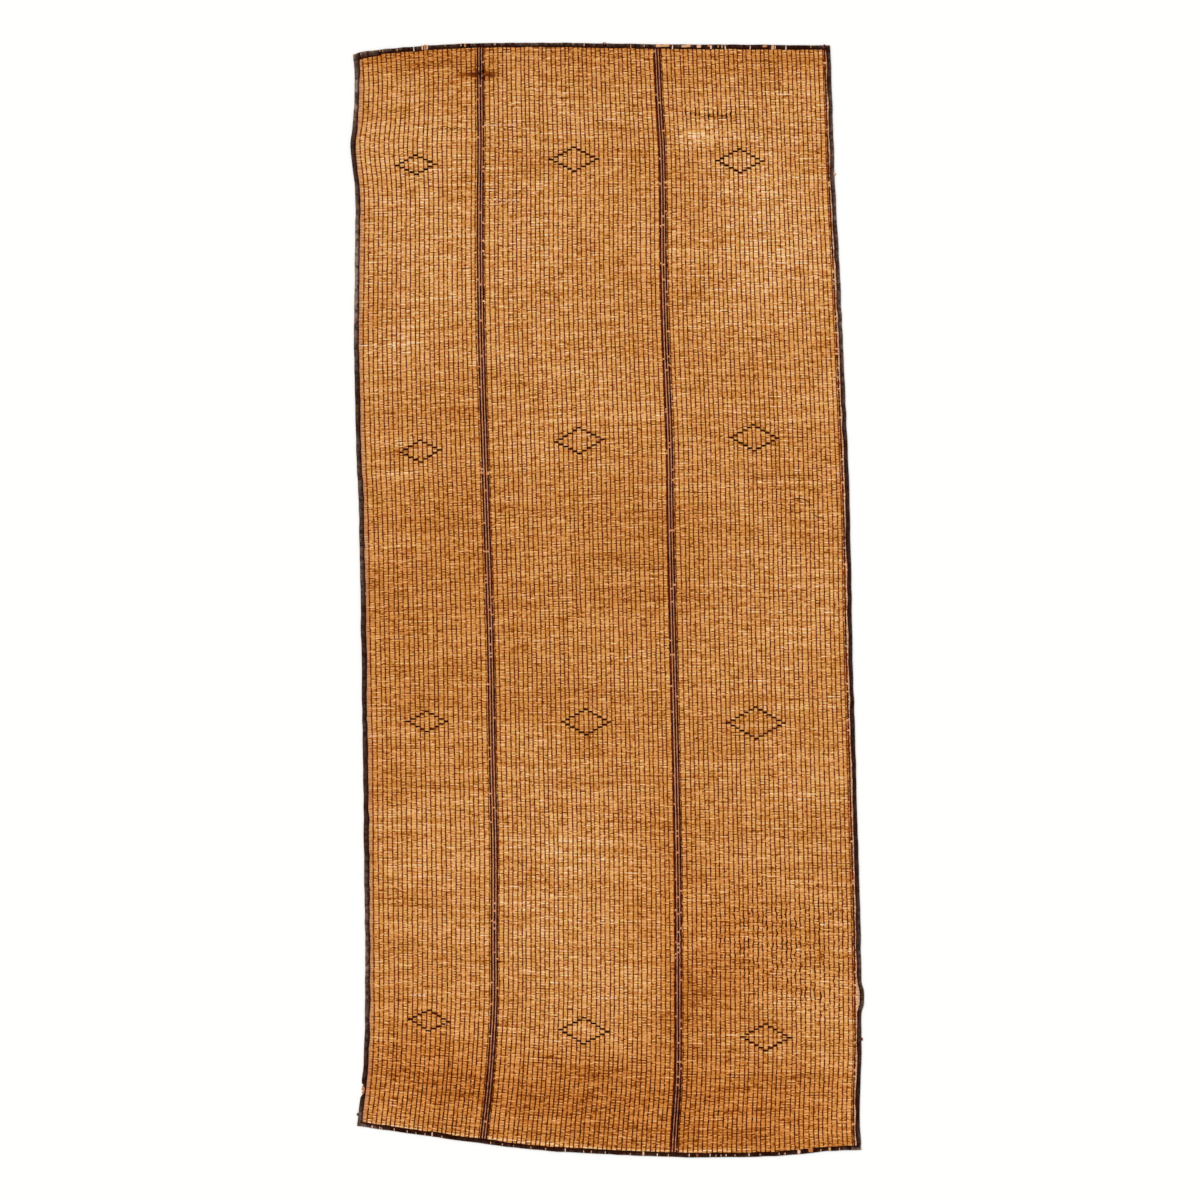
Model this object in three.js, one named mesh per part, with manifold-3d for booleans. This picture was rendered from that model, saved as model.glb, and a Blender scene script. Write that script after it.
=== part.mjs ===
// Tuareg floor mat, laid flat.
// Palm reeds lie crosswise, goatskin thongs run lengthwise through them, and folded leather binds the edges.
// Millimetres, +Z up. X runs across the mat, and +Y points to its head.
// The origin is on the floor under the middle of the outline.

import * as THREE from 'three';
import { mergeVertices } from 'three/addons/utils/BufferGeometryUtils.js';
import Module from 'manifold-3d';

// Heights above the floor, and thicknesses. The reeds are pinched thinner where a binding folds over them.
const REED_TOP = 3.2;
const THONG_RISE = 1.0;
const DASH_RISE = 0.8;
const DASH_ROOT = 1.0;
const LEATHER = 1.2;
const BINDING_HEIGHT = 5.2;
const CLEARANCE = 0.3;
const PINCHED_BOTTOM = LEATHER + CLEARANCE;
const PINCHED_TOP = BINDING_HEIGHT - LEATHER - CLEARANCE;

// Widths in plan of the thongs, and of the dashes that are stitched over a reed.
const THONG_WIDTH = 4;
const BAND_THONG_WIDTH = 6;
const BAND_PITCH = 11;
const DASH_LENGTH = 11.6;
const DASH_WIDTH = 4.5;

// Measured in from the outer edge: how far the bindings reach, and where the reeds stop inside them.
const SIDE_LAP = 16;
const END_LAP = 14;
const SIDE_REED_END = 9;
const END_REED_END = 4.5;

// Past a binding's lip, the pinched reeds slope back to their full thickness.
const PINCH_MARGIN = 2;
const SIDE_SLOPE = 6;
const END_SLOPE = 12;
const BACK_MARGIN = 8;
const BACK_SLOPE = 10;

// How finely the long edges, the back and the rounded folds are divided.
const EDGE_PITCH = 110;
const FOLD_STEPS = 4;

// Nominal widths of the three fields between the edges and the two dividing bands.
const LEFT_FIELD = 445;
const MIDDLE_FIELD = 643;
const RIGHT_FIELD = 632;
const LEFT_BAND = LEFT_FIELD;
const RIGHT_BAND = LEFT_FIELD + MIDDLE_FIELD;
const WIDTH = LEFT_FIELD + MIDDLE_FIELD + RIGHT_FIELD;
const LENGTH = 3958;

// The thongs at the right edge run as a close pair.
const EDGE_PAIR = [WIDTH - 33, WIDTH - 27];
const EDGE_THONG_WIDTH = 4.5;

// Evenly spaced thongs part each field into cells, between these two places across the mat.
const FIELDS = {
  left: { from: 37, to: LEFT_BAND - BAND_PITCH, cells: 24 },
  middle: { from: LEFT_BAND + BAND_PITCH, to: RIGHT_BAND - BAND_PITCH, cells: 38 },
  right: { from: RIGHT_BAND + BAND_PITCH, to: EDGE_PAIR[0], cells: 36 },
};

// How far the edges and bands lie from the centre line, at distances measured along the mat from its head.
const LENGTHWISE = [
  { along: 0, leftEdge: -905, leftBand: -451, rightBand: 174, rightEdge: 790 },
  { along: 153, leftEdge: -895, leftBand: -451, rightBand: 181, rightEdge: 795 },
  { along: 366, leftEdge: -912, leftBand: -449, rightBand: 193, rightEdge: 802 },
  { along: 525, leftEdge: -895, leftBand: -451, rightBand: 197, rightEdge: 808 },
  { along: 792, leftEdge: -895, leftBand: -451, rightBand: 199, rightEdge: 822 },
  { along: 1058, leftEdge: -898, leftBand: -447, rightBand: 206, rightEdge: 834 },
  { along: 1413, leftEdge: -891, leftBand: -437, rightBand: 220, rightEdge: 850 },
  { along: 1697, leftEdge: -880, leftBand: -428, rightBand: 224, rightEdge: 860 },
  { along: 2123, leftEdge: -873, leftBand: -415, rightBand: 233, rightEdge: 868 },
  { along: 2549, leftEdge: -866, leftBand: -408, rightBand: 243, rightEdge: 880 },
  { along: 2868, leftEdge: -863, leftBand: -401, rightBand: 249, rightEdge: 889 },
  { along: 3188, leftEdge: -859, leftBand: -401, rightBand: 252, rightEdge: 898 },
  { along: 3401, leftEdge: -859, leftBand: -401, rightBand: 252, rightEdge: 900 },
  { along: 3614, leftEdge: -864, leftBand: -412, rightBand: 252, rightEdge: 900 },
  { along: 3720, leftEdge: -873, leftBand: -421, rightBand: 249, rightEdge: 896 },
  { along: 3848, leftEdge: -887, leftBand: -435, rightBand: 240, rightEdge: 895 },
  { along: 3958, leftEdge: -895, leftBand: -447, rightBand: 234, rightEdge: 903 },
];

// How far along the mat a few reeds lie where they cross those lines.
// They are the first reed, one through each row of diamonds, and the last.
const CROSSWISE = [
  { share: 0, leftEdge: 46, leftBand: 5, rightBand: 9, rightEdge: 13 },
  { share: 0.104, leftEdge: 438, leftBand: 424, rightBand: 417, rightEdge: 422 },
  { share: 0.361, leftEdge: 1466, leftBand: 1436, rightBand: 1402, rightEdge: 1406 },
  { share: 0.616, leftEdge: 2412, leftBand: 2412, rightBand: 2414, rightEdge: 2416 },
  { share: 0.896, leftEdge: 3459, leftBand: 3490, rightBand: 3522, rightEdge: 3536 },
  { share: 1, leftEdge: 3848, leftBand: 3909, rightBand: 3957, rightEdge: 3930 },
];

// Stitched diamonds. Row, a row of CROSSWISE, and cell hold the middle. Reach counts the cells out to a point,
// and step is the distance along the mat from one dash to the next.
const DIAMONDS = [
  { row: 1, field: 'left', cell: 11, reach: 4, step: 8.5 },
  { row: 1, field: 'middle', cell: 19, reach: 5, step: 8.5 },
  { row: 1, field: 'right', cell: 17, reach: 5, step: 8.4 },
  { row: 2, field: 'left', cell: 11, reach: 4, step: 9.6 },
  { row: 2, field: 'middle', cell: 19, reach: 5, step: 9.2 },
  { row: 2, field: 'right', cell: 17, reach: 5, step: 9.2 },
  { row: 3, field: 'left', cell: 11, reach: 4, step: 9 },
  { row: 3, field: 'middle', cell: 19, reach: 5, step: 9.1 },
  { row: 3, field: 'right', cell: 16, reach: 6, step: 9.3 },
  { row: 4, field: 'left', cell: 11, reach: 4, step: 9.2 },
  { row: 4, field: 'middle', cell: 18, reach: 5, step: 9.2 },
  { row: 4, field: 'right', cell: 17, reach: 5, step: 9.4 },
];

// The right binding has come loose and bows out near the foot.
const LOOSE_BOW = { share: 0.8625, reach: 0.012, out: 10 };

// Shares of the length at which the ribs and bindings bend.
const BENDS = [0.036, 0.094, 0.135, 0.361, 0.616, 0.896, 0.955];
const BINDING_BENDS = [...BENDS, 0.015, 0.065, 0.115, 0.25, 0.49, 0.76, 0.926, 0.98];
const BOW_BENDS = [-2.2, -1.2, -0.6, 0, 0.6, 1.2, 2.2].map((k) => LOOSE_BOW.share + k * LOOSE_BOW.reach);

const LINES = ['leftEdge', 'leftBand', 'rightBand', 'rightEdge'];
const LINE_PLACES = [0, LEFT_BAND, RIGHT_BAND, WIDTH];

// A smooth curve through a table's rows, which gives the four lines' values at any value of the key column.
function smoothLines(table, key) {
  const stations = table.map((row) => row[key]);
  const values = table.flatMap((row) => LINES.map((line) => row[line]));
  const curve = new THREE.CubicInterpolant(stations, values, LINES.length);
  return (station) => Array.from(curve.evaluate(station));
}

const linesAlong = smoothLines(LENGTHWISE, 'along');
const reedsAt = smoothLines(CROSSWISE, 'share');

// A place on the mat: so far across it, on the reed at a share of the length, inset from there to the foot.
function place(across, reed, z) {
  const bend = new THREE.CubicInterpolant(LINE_PLACES, reedsAt(reed.share), 1);
  const along = bend.evaluate(across)[0] + (reed.inset ?? 0);
  const spread = new THREE.LinearInterpolant(LINE_PLACES, linesAlong(along), 1);
  return new THREE.Vector3(spread.evaluate(across)[0], LENGTH / 2 - along, z);
}

// Where each thong lies across the mat, and how wide it is, from left to right.
function thongs() {
  const made = [];
  const add = (across, width) => made.push({ across, width });
  for (const [name, { from, to, cells }] of Object.entries(FIELDS)) {
    const first = name === 'left' ? 0 : 1;
    for (let k = first; k < cells; k += 1) add(from + ((to - from) * k) / cells, THONG_WIDTH);
  }
  for (const band of [LEFT_BAND, RIGHT_BAND]) {
    for (const side of [-1, 0, 1]) add(band + side * BAND_PITCH, BAND_THONG_WIDTH);
  }
  for (const across of EDGE_PAIR) add(across, EDGE_THONG_WIDTH);
  return made.sort((a, b) => a.across - b.across);
}

// Evenly spaced places from one to another, both included.
function evenly(from, to, pitch) {
  const steps = Math.round((to - from) / pitch);
  return Array.from({ length: steps + 1 }, (_, k) => from + ((to - from) * k) / steps);
}

// A mesh of shared points and outward triangles.
function surface() {
  const points = [];
  const triangles = [];
  return {
    point: (position) => points.push(...position.toArray()) / 3 - 1,
    triangle: (a, b, c) => triangles.push(a, b, c),
    geometry() {
      const made = new THREE.BufferGeometry();
      made.setAttribute('position', new THREE.Float32BufferAttribute(points, 3));
      return made.setIndex(triangles);
    },
  };
}

// Closes the strip between two rows of points, which may be spaced differently. Row a lies nearer the head.
function zip(mesh, a, b) {
  let i = 0;
  let j = 0;
  while (i < a.length - 1 || j < b.length - 1) {
    const takeA = j === b.length - 1 || (i < a.length - 1 && a[i + 1].across <= b[j + 1].across);
    const next = takeA ? a[i + 1] : b[j + 1];
    mesh.triangle(a[i].index, b[j].index, next.index);
    if (takeA) i += 1;
    else j += 1;
  }
}

// The rows of points down the mat, with plain rows where the reeds are pinched in the end bindings.
function panelRows() {
  const end = [END_REED_END, END_LAP + PINCH_MARGIN];
  const ribbed = END_LAP + PINCH_MARGIN + END_SLOPE;
  return [
    ...end.map((inset) => ({ share: 0, inset, pinched: true })),
    { share: 0, inset: ribbed },
    ...BENDS.map((share) => ({ share })),
    { share: 1, inset: -ribbed },
    ...end.reverse().map((inset) => ({ share: 1, inset: -inset, pinched: true })),
  ];
}

// The woven field: a ribbed face, a flat back, and an edge pinched thin where the bindings fold over it.
function panelGeometry() {
  const pinch = SIDE_LAP + PINCH_MARGIN;
  const backPinch = SIDE_LAP + BACK_MARGIN;
  const backClear = backPinch + BACK_SLOPE;
  const fromSide = (across) => Math.min(across, WIDTH - across);
  const backPlaces = evenly(backClear, WIDTH - backClear, EDGE_PITCH);
  const plain = [SIDE_REED_END, backPinch, ...backPlaces, WIDTH - backPinch, WIDTH - SIDE_REED_END];
  const ribs = thongs().flatMap(({ across, width }) => [
    { across: across - width / 2, rise: 0 },
    { across, rise: THONG_RISE },
    { across: across + width / 2, rise: 0 },
  ]);
  const flat = (across) => ({ across, rise: 0 });
  const leftSide = [SIDE_REED_END, pinch, pinch + SIDE_SLOPE].map(flat);
  const rightSide = [WIDTH - pinch, WIDTH - SIDE_REED_END].map(flat);
  const ribbed = [...leftSide, ...ribs, ...rightSide];

  const mesh = surface();
  const rows = panelRows();
  const face = rows.map((reed) =>
    (reed.pinched ? plain.map(flat) : ribbed).map(({ across, rise }) => {
      const top = reed.pinched || fromSide(across) <= pinch ? PINCHED_TOP : REED_TOP + rise;
      return { across, index: mesh.point(place(across, reed, top)) };
    }),
  );
  const back = rows.map((reed) =>
    plain.map((across) => {
      const bottom = reed.pinched || fromSide(across) <= backPinch ? PINCHED_BOTTOM : 0;
      return { across, index: mesh.point(place(across, reed, bottom)) };
    }),
  );
  const wall = (a, b, c, d) => {
    mesh.triangle(a.index, b.index, c.index);
    mesh.triangle(a.index, c.index, d.index);
  };
  const last = rows.length - 1;
  for (let k = 0; k < last; k += 1) {
    zip(mesh, face[k], face[k + 1]);
    for (let i = 0; i < plain.length - 1; i += 1) {
      wall(back[k][i], back[k][i + 1], back[k + 1][i + 1], back[k + 1][i]);
    }
    wall(face[k][0], back[k][0], back[k + 1][0], face[k + 1][0]);
    wall(face[k + 1].at(-1), back[k + 1].at(-1), back[k].at(-1), face[k].at(-1));
  }
  for (let i = 0; i < plain.length - 1; i += 1) {
    wall(face[0][i + 1], back[0][i + 1], back[0][i], face[0][i]);
    wall(face[last][i], back[last][i], back[last][i + 1], face[last][i + 1]);
  }
  return mesh.geometry();
}

// The short bars of one diamond, each lying along its reed in the middle of a cell.
function diamondDashes({ row, field, cell, reach, step }) {
  const { from, to, cells } = FIELDS[field];
  const pitch = (to - from) / cells;
  const dashes = [];
  for (let k = -reach; k <= reach; k += 1) {
    const across = from + pitch * (cell + k + 0.5);
    const rise = (reach - Math.abs(k)) * step;
    for (const inset of rise ? [-rise, rise] : [0]) {
      const reed = { share: CROSSWISE[row].share, inset };
      const slope = place(across + pitch / 2, reed, 0).sub(place(across - pitch / 2, reed, 0));
      const bar = new THREE.BoxGeometry(DASH_LENGTH, DASH_WIDTH, DASH_RISE + DASH_ROOT);
      bar.rotateZ(Math.atan2(slope.y, slope.x));
      const middle = place(across, reed, REED_TOP + (DASH_RISE - DASH_ROOT) / 2);
      dashes.push(bar.translate(middle.x, middle.y, middle.z));
    }
  }
  return dashes;
}

// The outline of a folded binding, as distances in from its outer edge and heights.
function bindingOutline(lap) {
  const middle = BINDING_HEIGHT / 2;
  const up = Math.PI / 2;
  const down = Math.PI * 1.5;
  const arc = (radius, from, to) =>
    evenly(from, to, (to - from) / FOLD_STEPS).map(
      (angle) => new THREE.Vector2(middle + radius * Math.cos(angle), middle + radius * Math.sin(angle)),
    );
  const outer = arc(middle, up, down);
  const inner = arc(middle - LEATHER, down, up);
  const lip = (z) => new THREE.Vector2(lap, z);
  return [lip(BINDING_HEIGHT), ...outer, lip(0), lip(LEATHER), ...inner, lip(BINDING_HEIGHT - LEATHER)];
}

// A body swept through rings of points that all follow one flat outline.
function swept(outline, rings) {
  const mesh = surface();
  const indices = rings.map((ring) => ring.map((position) => mesh.point(position)));
  for (let k = 0; k < rings.length - 1; k += 1) {
    for (let i = 0; i < outline.length; i += 1) {
      const j = (i + 1) % outline.length;
      mesh.triangle(indices[k][i], indices[k][j], indices[k + 1][j]);
      mesh.triangle(indices[k][i], indices[k + 1][j], indices[k + 1][i]);
    }
  }
  for (const [a, b, c] of THREE.ShapeUtils.triangulateShape(outline, [])) {
    mesh.triangle(indices[0][a], indices[0][c], indices[0][b]);
    mesh.triangle(indices.at(-1)[a], indices.at(-1)[b], indices.at(-1)[c]);
  }
  return mesh.geometry();
}

// A side binding lies between the end bindings. Its sweep runs anticlockwise round the mat.
function sideBinding(side) {
  const outline = bindingOutline(SIDE_LAP);
  const start = END_LAP + CLEARANCE;
  const bends = side === 'right' ? [...BINDING_BENDS, ...BOW_BENDS] : [...BINDING_BENDS];
  const shares = bends.sort((a, b) => a - b).map((share) => ({ share }));
  const reeds = [{ share: 0, inset: start }, ...shares, { share: 1, inset: -start }];
  const bow = (share) => LOOSE_BOW.out * Math.exp(-(((share - LOOSE_BOW.share) / LOOSE_BOW.reach) ** 2));
  if (side === 'left') return swept(outline, reeds.map((reed) => outline.map(({ x, y }) => place(x, reed, y))));
  const rings = reeds.map((reed) =>
    outline.map(({ x, y }) => {
      const point = place(WIDTH - x, reed, y);
      point.x += bow(reed.share);
      return point;
    }),
  );
  return swept(outline, rings.reverse());
}

// An end binding runs from corner to corner along the first or the last reed.
function endBinding(end) {
  const outline = bindingOutline(END_LAP);
  const places = [0, ...evenly(SIDE_LAP, WIDTH - SIDE_LAP, EDGE_PITCH), WIDTH];
  if (end === 'head') places.reverse();
  const reed = (inset) => (end === 'head' ? { share: 0, inset } : { share: 1, inset: -inset });
  return swept(outline, places.map((across) => outline.map(({ x, y }) => place(across, reed(x), y))));
}

const wasm = await Module();
wasm.setup();

// A closed geometry as a solid that can be joined to others.
function solid(geometry) {
  geometry.deleteAttribute('normal');
  geometry.deleteAttribute('uv');
  const merged = mergeVertices(geometry);
  const vertProperties = merged.getAttribute('position').array;
  const triVerts = new Uint32Array(merged.index.array);
  return new wasm.Manifold(new wasm.Mesh({ numProp: 3, vertProperties, triVerts }));
}

// Joins raised bars to the body they stand on.
function joined(body, bars) {
  const whole = bars.reduce((made, bar) => made.add(solid(bar)), solid(body));
  const { vertProperties, triVerts } = whole.getMesh();
  const geometry = new THREE.BufferGeometry();
  geometry.setAttribute('position', new THREE.BufferAttribute(vertProperties, 3));
  return geometry.setIndex(new THREE.BufferAttribute(triVerts, 1));
}

const reedAndThong = new THREE.MeshStandardMaterial({ color: 0xbc7f46, roughness: 0.7, metalness: 0 });
const bindingLeather = new THREE.MeshStandardMaterial({ color: 0x3a2417, roughness: 0.6, metalness: 0 });

const mat = new THREE.Group();

function addPiece(name, geometry, material) {
  const piece = new THREE.Mesh(geometry, material);
  piece.name = name;
  mat.add(piece);
}

addPiece('mat_panel', joined(panelGeometry(), DIAMONDS.flatMap(diamondDashes)), reedAndThong);
addPiece('binding_left', sideBinding('left'), bindingLeather);
addPiece('binding_right', sideBinding('right'), bindingLeather);
addPiece('binding_head', endBinding('head'), bindingLeather);
addPiece('binding_foot', endBinding('foot'), bindingLeather);

// The origin goes to the middle of the outline, on the floor.
const middle = new THREE.Box3().setFromObject(mat).getCenter(new THREE.Vector3());
mat.position.set(-middle.x, -middle.y, 0);

export default mat;
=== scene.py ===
# %% [markdown]
# # A woven mat of reeds and leather, nearly four metres long
# Reeds lie side by side across the mat. Dark leather thongs run lengthwise and hold them, over most reeds
# and under a few. Two bands of wine-dark thongs part the mat into three fields, each with four small
# diamonds of black stitches, and a folded strip of leather binds every edge.
# The solids of the frame give the outline and the size. This script gives the mat its weave and its wear.

# %% Start in the shared frame
import math

import bpy
import numpy as np
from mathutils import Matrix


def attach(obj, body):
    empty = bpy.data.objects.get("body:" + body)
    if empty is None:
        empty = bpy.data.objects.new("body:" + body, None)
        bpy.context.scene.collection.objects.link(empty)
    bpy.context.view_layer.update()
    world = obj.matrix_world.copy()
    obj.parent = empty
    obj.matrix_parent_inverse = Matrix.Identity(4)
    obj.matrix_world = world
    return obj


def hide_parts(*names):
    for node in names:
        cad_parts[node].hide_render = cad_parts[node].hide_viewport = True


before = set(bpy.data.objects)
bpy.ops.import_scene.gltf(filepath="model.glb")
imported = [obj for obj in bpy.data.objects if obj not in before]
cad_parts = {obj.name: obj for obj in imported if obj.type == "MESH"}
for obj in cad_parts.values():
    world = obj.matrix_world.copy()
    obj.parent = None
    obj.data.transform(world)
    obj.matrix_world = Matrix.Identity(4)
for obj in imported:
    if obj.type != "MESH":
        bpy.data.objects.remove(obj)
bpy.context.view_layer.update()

MM = 0.001
scene = bpy.context.scene

# %% [markdown]
# ## The lines that everything follows
# The mat was woven by hand and has been pulled about, so no line in it is straight. Two small tables hold
# its shape: where the two edges and the two bands run, and how far down the mat a reed crosses them.
# A smooth curve through each table is enough to place any point of the weave, so the reeds, thongs,
# stitches and bindings all bend together.

# %% Measures in millimetres, and the place of a point in the weave
WIDTH, LENGTH = 1720.0, 3958.0
BANDS = (445.0, 1088.0)
LINE_PLACES = np.array([0.0, *BANDS, WIDTH])
LENGTHWISE = np.array([  # distance along, then x of the left edge, left band, right band and right edge
    (0, -905, -451, 174, 790), (153, -895, -451, 181, 795), (270, -900, -450, 187, 799),
    (366, -911, -449, 193, 802), (525, -895, -451, 197, 808), (792, -895, -451, 199, 822),
    (1058, -898, -447, 206, 834), (1413, -891, -437, 220, 850), (1697, -880, -428, 224, 860),
    (2123, -873, -415, 233, 868), (2549, -866, -408, 243, 880), (2868, -863, -401, 249, 889),
    (3188, -859, -401, 252, 898), (3401, -859, -401, 252, 900), (3614, -864, -412, 252, 900),
    (3720, -873, -421, 249, 896), (3848, -887, -435, 240, 895), (3958, -895, -447, 234, 903),
], float)
CROSSWISE = np.array([  # a reed's share of the mat, then its distance along on the same four lines
    (0, 46, 5, 9, 13), (0.104, 438, 424, 417, 422), (0.361, 1466, 1436, 1402, 1406),
    (0.616, 2412, 2412, 2414, 2416), (0.896, 3459, 3490, 3522, 3536), (1, 3848, 3909, 3957, 3930),
], float)
BOW = {"share": 0.859, "reach": 0.0105, "out": 11.0}  # where the right binding stands off from the reeds
TORN = {"share": 0.9655, "reach": 0.005, "reeds_out": 6.0, "binding_in": 12.0}  # where the left one is torn


def read(stations, values, at, straight=False):
    """Values at the stations, read at other places. A value is a number, or a row with one per place."""
    values = np.asarray(values, float)
    table = values if values.ndim > 1 else values[:, None]
    column = np.arange(at.size) if values.ndim > 1 else np.zeros(at.size, int)
    gaps = np.diff(stations)
    slope = np.diff(table, axis=0) / gaps[:, None]
    lean = np.concatenate([slope[:1], (slope[:-1] + slope[1:]) / 2, slope[-1:]])
    i = np.clip(np.searchsorted(stations, at) - 1, 0, len(stations) - 2)
    start, end = table[i, column], table[i + 1, column]
    p = (at - stations[i]) / gaps[i]
    if straight:
        return start + (end - start) * p
    p = np.clip(p, 0, 1)
    bend = lean[i, column] * (1 - p) - lean[i + 1, column] * p
    return start + (end - start) * p * p * (3 - 2 * p) + bend * gaps[i] * p * (1 - p)


def place(across, share, inset=0.0):
    """The x and y of points given across the mat and along it, in millimetres."""
    across, share, inset = (np.ravel(a).astype(float) for a in np.broadcast_arrays(across, share, inset))
    crossings = [read(CROSSWISE[:, 0], CROSSWISE[:, k], share) for k in (1, 2, 3, 4)]
    along = read(LINE_PLACES, crossings, across) + inset
    lines = [read(LENGTHWISE[:, 0], LENGTHWISE[:, k], along) for k in (1, 2, 3, 4)]
    return np.stack([read(LINE_PLACES, lines, across, straight=True), LENGTH / 2 - along], axis=1)


def bump(shares, spot):
    """One at a spot along the mat, falling to nought beyond its reach."""
    return np.exp(-(((shares - spot["share"]) / spot["reach"]) ** 4))


def wander(count, knots, amount, rng):
    """A line of numbers that drifts smoothly up and down through a few random knots."""
    stations = np.linspace(0, 1, knots)
    return amount * read(stations, rng.uniform(-1, 1, knots), np.linspace(0, 1, count))


corners = place([0, WIDTH, 0, WIDTH], [0, 0, 1, 1])
print("corners", corners.round(0).tolist())

# %% [markdown]
# ## Tools for trees and pieces
# The weave is made by Geometry Nodes: Python lays out guide lines or points with a few named numbers on
# them, and a tree turns each line into a strand or each point into a stitch. The result is turned into a
# plain mesh straight away, so nothing is left to evaluate when the mat is used again.
# Inputs are given in their order, or by name or number where some are left out. A map range takes a value,
# the two ends of the range that it comes from and the two that it goes to. A mix of colours has its share at
# 0 and its colours at 6 and 7, and gives the mix as its output 2.

# %% One node, one grown piece, one finish
PREFIXES = ("ShaderNode", "GeometryNode", "FunctionNode", "")  # what stands before a node's plain name
DULL = 0.02  # the level of shine on old reed and leather


def add(tree, kind, *values, give=0, **settings):
    """Adds a node with its settings, sets or links inputs in order or from a dict, and gives an output."""
    node = tree.nodes.new(next(start + kind for start in PREFIXES if hasattr(bpy.types, start + kind)))
    for key, value in settings.items():
        setattr(node, key, value)
    inputs = values[0] if values and isinstance(values[0], dict) else dict(enumerate(values))
    for key, value in inputs.items():
        if isinstance(value, bpy.types.NodeSocket):
            tree.links.new(value, node.inputs[key])
        else:
            node.inputs[key].default_value = value
    return node.outputs[give] if node.outputs else None


def new_tree(name, sockets):
    """An empty geometry tree with its named inputs, and the outputs of its input node."""
    tree = bpy.data.node_groups.new(name, "GeometryNodeTree")
    for label, kind in sockets:
        tree.interface.new_socket(label, in_out="INPUT", socket_type="NodeSocket" + kind)
    tree.interface.new_socket("Geometry", in_out="OUTPUT", socket_type="NodeSocketGeometry")
    return tree, add(tree, "NodeGroupInput").node.outputs


def number_points(mesh, shape, numbers):
    """Puts named numbers on the points of a mesh, spread over a shape of lines and points."""
    for key, values in numbers.items():
        filled = np.broadcast_to(values, shape).astype(np.float32).ravel()
        mesh.attributes.new(key, "FLOAT", "POINT").data.foreach_set("value", filled)


def guide(name, points, **numbers):
    """Lines of points, as an array of lines x points x 3, made a mesh of edges with named numbers on it."""
    order = np.arange(points.shape[0] * points.shape[1]).reshape(points.shape[:2])
    edges = np.stack([order[:, :-1], order[:, 1:]], axis=2).reshape(-1, 2)
    mesh = bpy.data.meshes.new(name)
    mesh.vertices.add(order.size)
    mesh.vertices.foreach_set("co", (points * MM).astype(np.float32).ravel())
    mesh.edges.add(len(edges))
    mesh.edges.foreach_set("vertices", edges.astype(np.int32).ravel())
    number_points(mesh, order.shape, numbers)
    mesh.update()
    return mesh


def grow(name, lines, tree, **inputs):
    """A piece that a tree makes from guide lines, as a plain mesh."""
    piece = bpy.data.objects.new(name, lines)
    scene.collection.objects.link(piece)
    modifier = piece.modifiers.new(tree.name, "NODES")
    modifier.node_group = tree
    for socket in tree.interface.items_tree:
        if socket.in_out == "INPUT" and socket.name in inputs:
            modifier[socket.identifier] = inputs[socket.name]
    graph = bpy.context.evaluated_depsgraph_get()
    made = bpy.data.meshes.new_from_object(
        piece.evaluated_get(graph), preserve_all_data_layers=True, depsgraph=graph
    )
    piece.modifiers.clear()
    piece.data = made
    bpy.data.meshes.remove(lines)
    made.name = name
    made.calc_loop_triangles()
    print(name, len(made.loop_triangles), "triangles")
    return piece


def tint(code):
    """A colour written as sRGB hex, in the linear numbers that shaders take."""
    parts = [int(code[i:i + 2], 16) / 255 for i in (1, 3, 5)]
    return (*[p / 12.92 if p <= 0.04045 else ((p + 0.055) / 1.055) ** 2.4 for p in parts], 1.0)


def new_material(name):
    """An empty material, the tree to add nodes to, and its shader."""
    material = bpy.data.materials.new(name)
    material.use_nodes = True
    tree = material.node_tree
    return material, tree, tree.nodes["Principled BSDF"]


def colours(tree, tone, stops):
    """The colour of a tone, from stops that are a place between nought and one and a hex code."""
    colour = add(tree, "ValToRGB", tone)
    elements = colour.node.color_ramp.elements
    for k, (position, code) in enumerate(stops):
        stop = elements[k] if k < 2 else elements.new(position)
        stop.position = position
        stop.color = tint(code)
    return colour


def dress(tree, shader, colour, rough, height=None, strength=0.0):
    """Gives a shader its colour, its roughness and a relief less than half a millimetre deep."""
    tree.links.new(colour, shader.inputs["Base Color"])
    shader.inputs["Roughness"].default_value = rough
    shader.inputs["Specular IOR Level"].default_value = DULL
    if height is not None:
        relief = add(tree, "Bump", {"Strength": strength, "Distance": 0.4 * MM, "Height": height})
        tree.links.new(relief, shader.inputs["Normal"])


# %% [markdown]
# ## Where the thongs run
# Thongs lie about 16 mm apart in the fields. Three broader ones make each band, closer together, with a
# plain one on either side, and two lie side by side along the right edge. Every thong has a number, counted
# from the left, and a place across the mat between two thongs is a fraction between their numbers. The
# colour of the reeds and the sway of the thongs both read their noise by these numbers, so a stain stays
# under its thong.

# %% Thongs counted from the left
FIELDS = {  # places across of the first and the last thong, and the cells between them
    "left": (33.0, 428.7, 24), "middle": (462.0, 1075.5, 38), "right": (1105.0, 1693.0, 36),
}
BAND_STEPS = (-8.5, 1.2, 10.6)  # the three thongs of a band, from its line
EDGE_THONGS = (27.0, 20.4)  # the pair at the right edge, in from the edge
EDGE_CELLS = (13.8, 7.2)  # cells beyond the pair
LEFT_CELL = 20.5  # the first cell, inside the left binding
PITCH = 16.3
REEDS = 866
STREAK = (0.52, 7.7, 1.0)  # steps through the noise from thong to thong and from reed to reed
RAISED = 0.70  # above this, the noise lifts a reed over the thongs
SWAY, SWAY_REACH = (3.71, 0.08, 2.5), 4.6  # the same steps for a thong's sway to each side, and its reach
DRIFT, DRIFT_REACH = (3.71, 0.006, 7.5), 8.0  # for its slower drift
CRINKLE, CRINKLE_REACH = (3.71, 0.2, 20.0), 26.0  # for the crinkles of a slack thong
CLUMP = (3.71, 0.22, 40.0)  # and for clumps of dirt
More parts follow.
